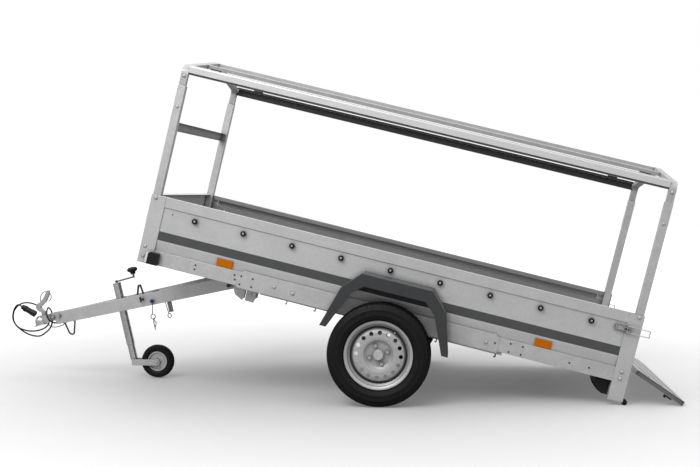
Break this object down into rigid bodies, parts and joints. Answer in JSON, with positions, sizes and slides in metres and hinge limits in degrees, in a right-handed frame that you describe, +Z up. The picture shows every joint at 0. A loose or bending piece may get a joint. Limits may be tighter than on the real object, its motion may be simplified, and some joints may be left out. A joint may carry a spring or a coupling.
{
  "type": "tilting cargo trailer",
  "caption": "Light single-axle tilting cargo trailer with a bare cover frame, V drawbar, jockey wheel, mudguards and a lowered tailgate.",
  "frame": {"origin": "on the ground under the middle of the trailer's length and width", "axes": "+X from the coupling to the tailgate, +Y from the trailer's left to its right, +Z up"},
  "size_m": [3.9108, 1.7, 1.8936],
  "materials": {
    "zinc_sheet": "galvanised steel sheet, light grey, faint spangle",
    "zinc_steel": "hot-dip galvanised steel",
    "bright_steel": "bright zinc plate",
    "bright_rail": "bright rolled section",
    "plywood": "dark film-faced plywood",
    "black_plastic": "moulded, matt",
    "guard_plastic": "moulded, dark grey",
    "orange_lens": "ribbed reflector",
    "clear_lens": "clear lens",
    "red_lens": "red lens",
    "wheel_silver": "silver lacquer",
    "tyre": "tread and sidewall rubber",
    "black_rubber": "solid rubber",
    "cable_black": "cable sheath",
    "cable_grey": "coated wire",
    "cord_blue": "braided cord",
    "dark_steel": "dark plated steel"
  },
  "bodies": {
    "box": {"side_panels": "zinc_sheet", "front_panel": "zinc_sheet", "corner_posts": "zinc_sheet", "floor_panel": "plywood", "side_beams": "zinc_steel", "cross_members": "zinc_steel", "axle_plates": "zinc_steel", "axle_tube": "zinc_steel", "mudguards": "guard_plastic", "cover_uprights": "zinc_steel", "cover_hoops": "zinc_steel", "side_rails": "bright_rail", "roof_rails": "zinc_steel", "cover_fittings": "black_plastic", "side_reflectors": "orange_lens", "lamp_housings": "black_plastic", "front_lamp_lenses": "clear_lens", "rear_lamp_lenses": "red_lens", "rear_feet": "black_rubber", "latch_bases": "bright_steel", "frame_bolts": "bright_steel", "pivot_brackets": "zinc_steel", "pivot_bolts": "dark_steel", "gate_hinges": "zinc_steel"},
    "tailgate": {"tailgate": "zinc_sheet", "gate_keepers": "black_plastic"},
    "latch_lever_left": {"latch_lever_left": "bright_steel"},
    "latch_lever_right": {"latch_lever_right": "bright_steel"},
    "latch_loop_left": {"latch_loop_left": "bright_steel"},
    "latch_loop_right": {"latch_loop_right": "bright_steel"},
    "swing_arm_left": {"swing_arm_left": "zinc_steel"},
    "swing_arm_right": {"swing_arm_right": "zinc_steel"},
    "wheel_left": {"hub_left": "zinc_steel", "wheel_rim_left": "wheel_silver", "tyre_left": "tyre", "wheel_bolts_left": "bright_steel"},
    "wheel_right": {"hub_right": "zinc_steel", "wheel_rim_right": "wheel_silver", "tyre_right": "tyre", "wheel_bolts_right": "bright_steel"},
    "drawbar": {"drawbar_legs": "zinc_steel", "drawbar_crossbars": "zinc_steel", "coupling_body": "bright_steel", "coupling_bolts": "bright_steel", "v_stand": "dark_steel", "lock_fittings": "dark_steel", "jockey_clamp": "bright_steel", "electric_cable": "cable_black", "cable_plug": "black_plastic", "breakaway_cable": "cable_grey", "pin_cord": "cord_blue", "r_clip": "bright_steel"},
    "coupling_handle": {"coupling_handle": "bright_steel"},
    "jockey_post": {"jockey_outer_tube": "bright_steel"},
    "jockey_crank": {"jockey_crank": "bright_steel"},
    "jockey_knob": {"jockey_knob": "black_plastic"},
    "jockey_leg": {"jockey_inner_tube": "bright_steel"},
    "jockey_fork": {"jockey_fork": "zinc_steel"},
    "jockey_wheel": {"jockey_rim": "wheel_silver", "jockey_tyre": "black_rubber"}
  },
  "joints": [
    {"name": "drawbar_tilt", "type": "hinge", "parent": "box", "child": "drawbar", "pos_m": [-0.56954, 0, 0.60482], "axis": [0, 1, 0], "range_deg": [0, 26.3]},
    {"name": "tailgate_hinge", "type": "hinge", "parent": "box", "child": "tailgate", "pos_m": [1.6198, 0, 0.1872], "axis": [0, -1, 0], "range_deg": [-55, 111]},
    {"name": "latch_lever_left_swing", "type": "hinge", "parent": "box", "child": "latch_lever_left", "pos_m": [1.59275, -0.663, 0.40168], "axis": [0.2365, 0, 0.9716], "range_deg": [0, 150]},
    {"name": "latch_loop_left_swing", "type": "hinge", "parent": "latch_lever_left", "child": "latch_loop_left", "pos_m": [1.58109, -0.6695, 0.40452], "axis": [-0.2365, 0, -0.9716], "range_deg": [0, 150]},
    {"name": "suspension_left", "type": "hinge", "parent": "box", "child": "swing_arm_left", "pos_m": [0.17265, -0.66, 0.40668], "axis": [0, -1, 0], "range_deg": [-6, 14], "stiffness_Nm_per_rad": 2500, "springref_deg": -4.01},
    {"name": "wheel_left_spin", "type": "hinge", "parent": "swing_arm_left", "child": "wheel_left", "pos_m": [0.28638, -0.765, 0.2735], "axis": [0, 1, 0], "continuous": true},
    {"name": "latch_lever_right_swing", "type": "hinge", "parent": "box", "child": "latch_lever_right", "pos_m": [1.59275, 0.663, 0.40168], "axis": [-0.2365, 0, -0.9716], "range_deg": [0, 150]},
    {"name": "latch_loop_right_swing", "type": "hinge", "parent": "latch_lever_right", "child": "latch_loop_right", "pos_m": [1.58109, 0.6695, 0.40452], "axis": [0.2365, 0, 0.9716], "range_deg": [0, 150]},
    {"name": "suspension_right", "type": "hinge", "parent": "box", "child": "swing_arm_right", "pos_m": [0.17265, 0.66, 0.40668], "axis": [0, -1, 0], "range_deg": [-6, 14], "stiffness_Nm_per_rad": 2500, "springref_deg": -4.01},
    {"name": "wheel_right_spin", "type": "hinge", "parent": "swing_arm_right", "child": "wheel_right", "pos_m": [0.28638, 0.765, 0.2735], "axis": [0, 1, 0], "continuous": true},
    {"name": "coupling_handle_lift", "type": "hinge", "parent": "drawbar", "child": "coupling_handle", "pos_m": [-1.81816, 0, 0.35966], "axis": [0, 1, 0], "range_deg": [0, 32]},
    {"name": "jockey_post_lift", "type": "slide", "parent": "drawbar", "child": "jockey_post", "axis": [-0.2188, 0, 0.9758], "range_m": [0, 0.18]},
    {"name": "jockey_crank_turn", "type": "hinge", "parent": "jockey_post", "child": "jockey_crank", "pos_m": [-1.3642, 0, 0.57009], "axis": [-0.2188, 0, 0.9758], "range_deg": [-3780, 5580]},
    {"name": "jockey_knob_spin", "type": "hinge", "parent": "jockey_crank", "child": "jockey_knob", "pos_m": [-1.26367, 0, 0.63363], "axis": [-0.2188, 0, 0.9758], "continuous": true},
    {"name": "jockey_leg_feed", "type": "slide", "parent": "jockey_post", "child": "jockey_leg", "axis": [0.2188, 0, -0.9758], "range_m": [-0.085, 0.125]},
    {"name": "jockey_swivel", "type": "hinge", "parent": "jockey_leg", "child": "jockey_fork", "pos_m": [-1.26573, 0, 0.131], "axis": [-0.2188, 0, 0.9758], "continuous": true},
    {"name": "jockey_wheel_spin", "type": "hinge", "parent": "jockey_fork", "child": "jockey_wheel", "pos_m": [-1.11342, 0, 0.10092], "axis": [0, 1, 0], "continuous": true}
  ],
  "couplings": [
    {"joint": "jockey_leg_feed", "follows": "jockey_crank_turn", "m_per_rad": 0.0012732},
    {"joint": "latch_loop_left_swing", "follows": "latch_lever_left_swing", "ratio": 1},
    {"joint": "latch_loop_right_swing", "follows": "latch_lever_right_swing", "ratio": 1}
  ]
}
